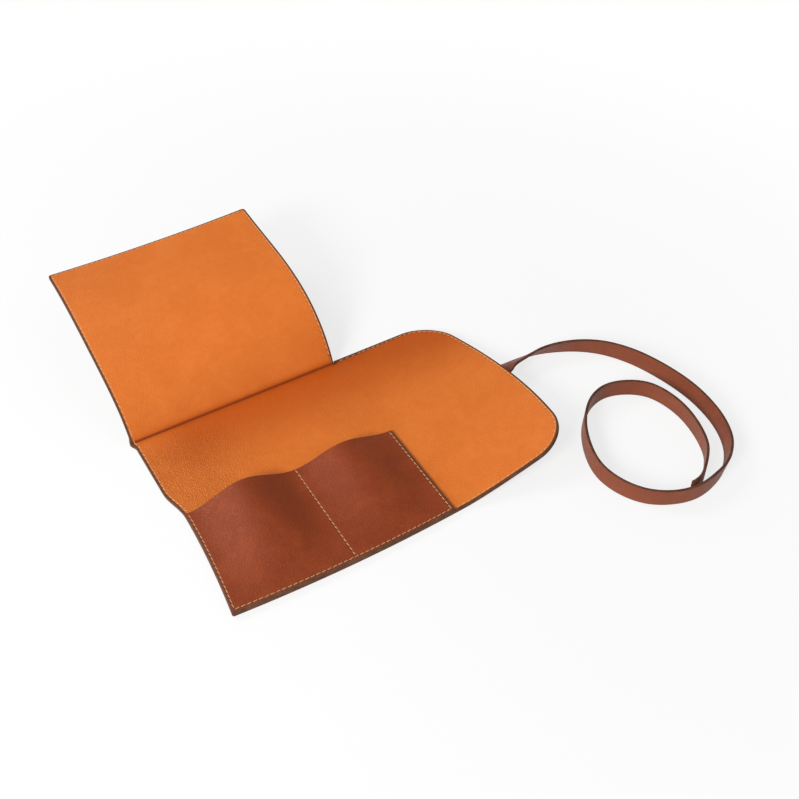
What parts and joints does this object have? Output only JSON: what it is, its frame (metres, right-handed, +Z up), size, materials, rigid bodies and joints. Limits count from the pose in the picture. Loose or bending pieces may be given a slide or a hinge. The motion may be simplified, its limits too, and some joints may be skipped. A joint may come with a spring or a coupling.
{
  "type": "watch travel case",
  "caption": "Leather watch roll laid open: moulded pockets on a lined base, a folding top flap, a round-cornered side tongue and a long flat tie strap.",
  "frame": {"origin": "centre of the pocket field's underside, on the surface that the base panel rests on: midway between the base's left edge and the pockets' right edge, and midway between the base's front and back edges", "axes": "+X towards the tongue, +Y from the front edge towards the flap, +Z up"},
  "size_m": [0.3182, 0.3428, 0.0451],
  "materials": {
    "outer_leather": "smooth brown leather, painted edges",
    "lining_leather": "pebbled orange-tan leather, soft sheen",
    "pocket_leather": "grained red-brown leather",
    "strap_leather": "smooth brown leather with dark painted edges",
    "thread": "waxed cream thread"
  },
  "bodies": {
    "base": {"base_shell": "outer_leather", "base_lining": "lining_leather", "pocket_panel": "pocket_leather", "pocket_thread": "thread", "divider_thread": "thread", "base_thread": "thread"},
    "flap_root": {"flap_root_shell": "outer_leather", "flap_root_lining": "lining_leather", "flap_root_thread": "thread"},
    "flap_mid": {"flap_mid_shell": "outer_leather", "flap_mid_lining": "lining_leather", "flap_mid_thread": "thread"},
    "flap_tip": {"flap_tip_shell": "outer_leather", "flap_tip_lining": "lining_leather", "flap_tip_thread": "thread"},
    "tongue_root": {"tongue_root_shell": "outer_leather", "tongue_root_lining": "lining_leather", "tongue_root_thread": "thread"},
    "tongue_tip": {"tongue_tip_shell": "outer_leather", "tongue_tip_lining": "lining_leather", "tongue_tip_thread": "thread", "strap_anchor": "strap_leather", "anchor_thread": "thread", "strap": "strap_leather"}
  },
  "joints": [
    {"name": "flap_close", "type": "hinge", "parent": "base", "child": "flap_root", "pos_m": [0, 0.07145, 0.0025], "axis": [1, 0, 0], "range_deg": [-6, 74]},
    {"name": "flap_mid_fold", "type": "hinge", "parent": "flap_root", "child": "flap_mid", "pos_m": [-0.00041, 0.08355, 0.01814], "axis": [0.9996, -0.0231, 0.0187], "range_deg": [-4.3, 53]},
    {"name": "flap_tip_fold", "type": "hinge", "parent": "flap_mid", "child": "flap_tip", "pos_m": [-0.00015, 0.10599, 0.03052], "axis": [0.9971, -0.0469, 0.0606], "range_deg": [-4.22, 52]},
    {"name": "tongue_wrap", "type": "hinge", "parent": "base", "child": "tongue_root", "pos_m": [0.0745, 0, 0.0025], "axis": [0, -1, 0], "range_deg": [0, 90]},
    {"name": "tongue_tip_fold", "type": "hinge", "parent": "tongue_root", "child": "tongue_tip", "pos_m": [0.11017, 0.00013, 0.00625], "axis": [-0.0045, -0.9987, 0.0511], "range_deg": [0, 76]}
  ],
  "couplings": [
    {"joint": "flap_mid_fold", "follows": "flap_close", "ratio": 0.71622},
    {"joint": "flap_tip_fold", "follows": "flap_close", "ratio": 0.7027},
    {"joint": "tongue_tip_fold", "follows": "tongue_wrap", "ratio": 0.84444}
  ]
}
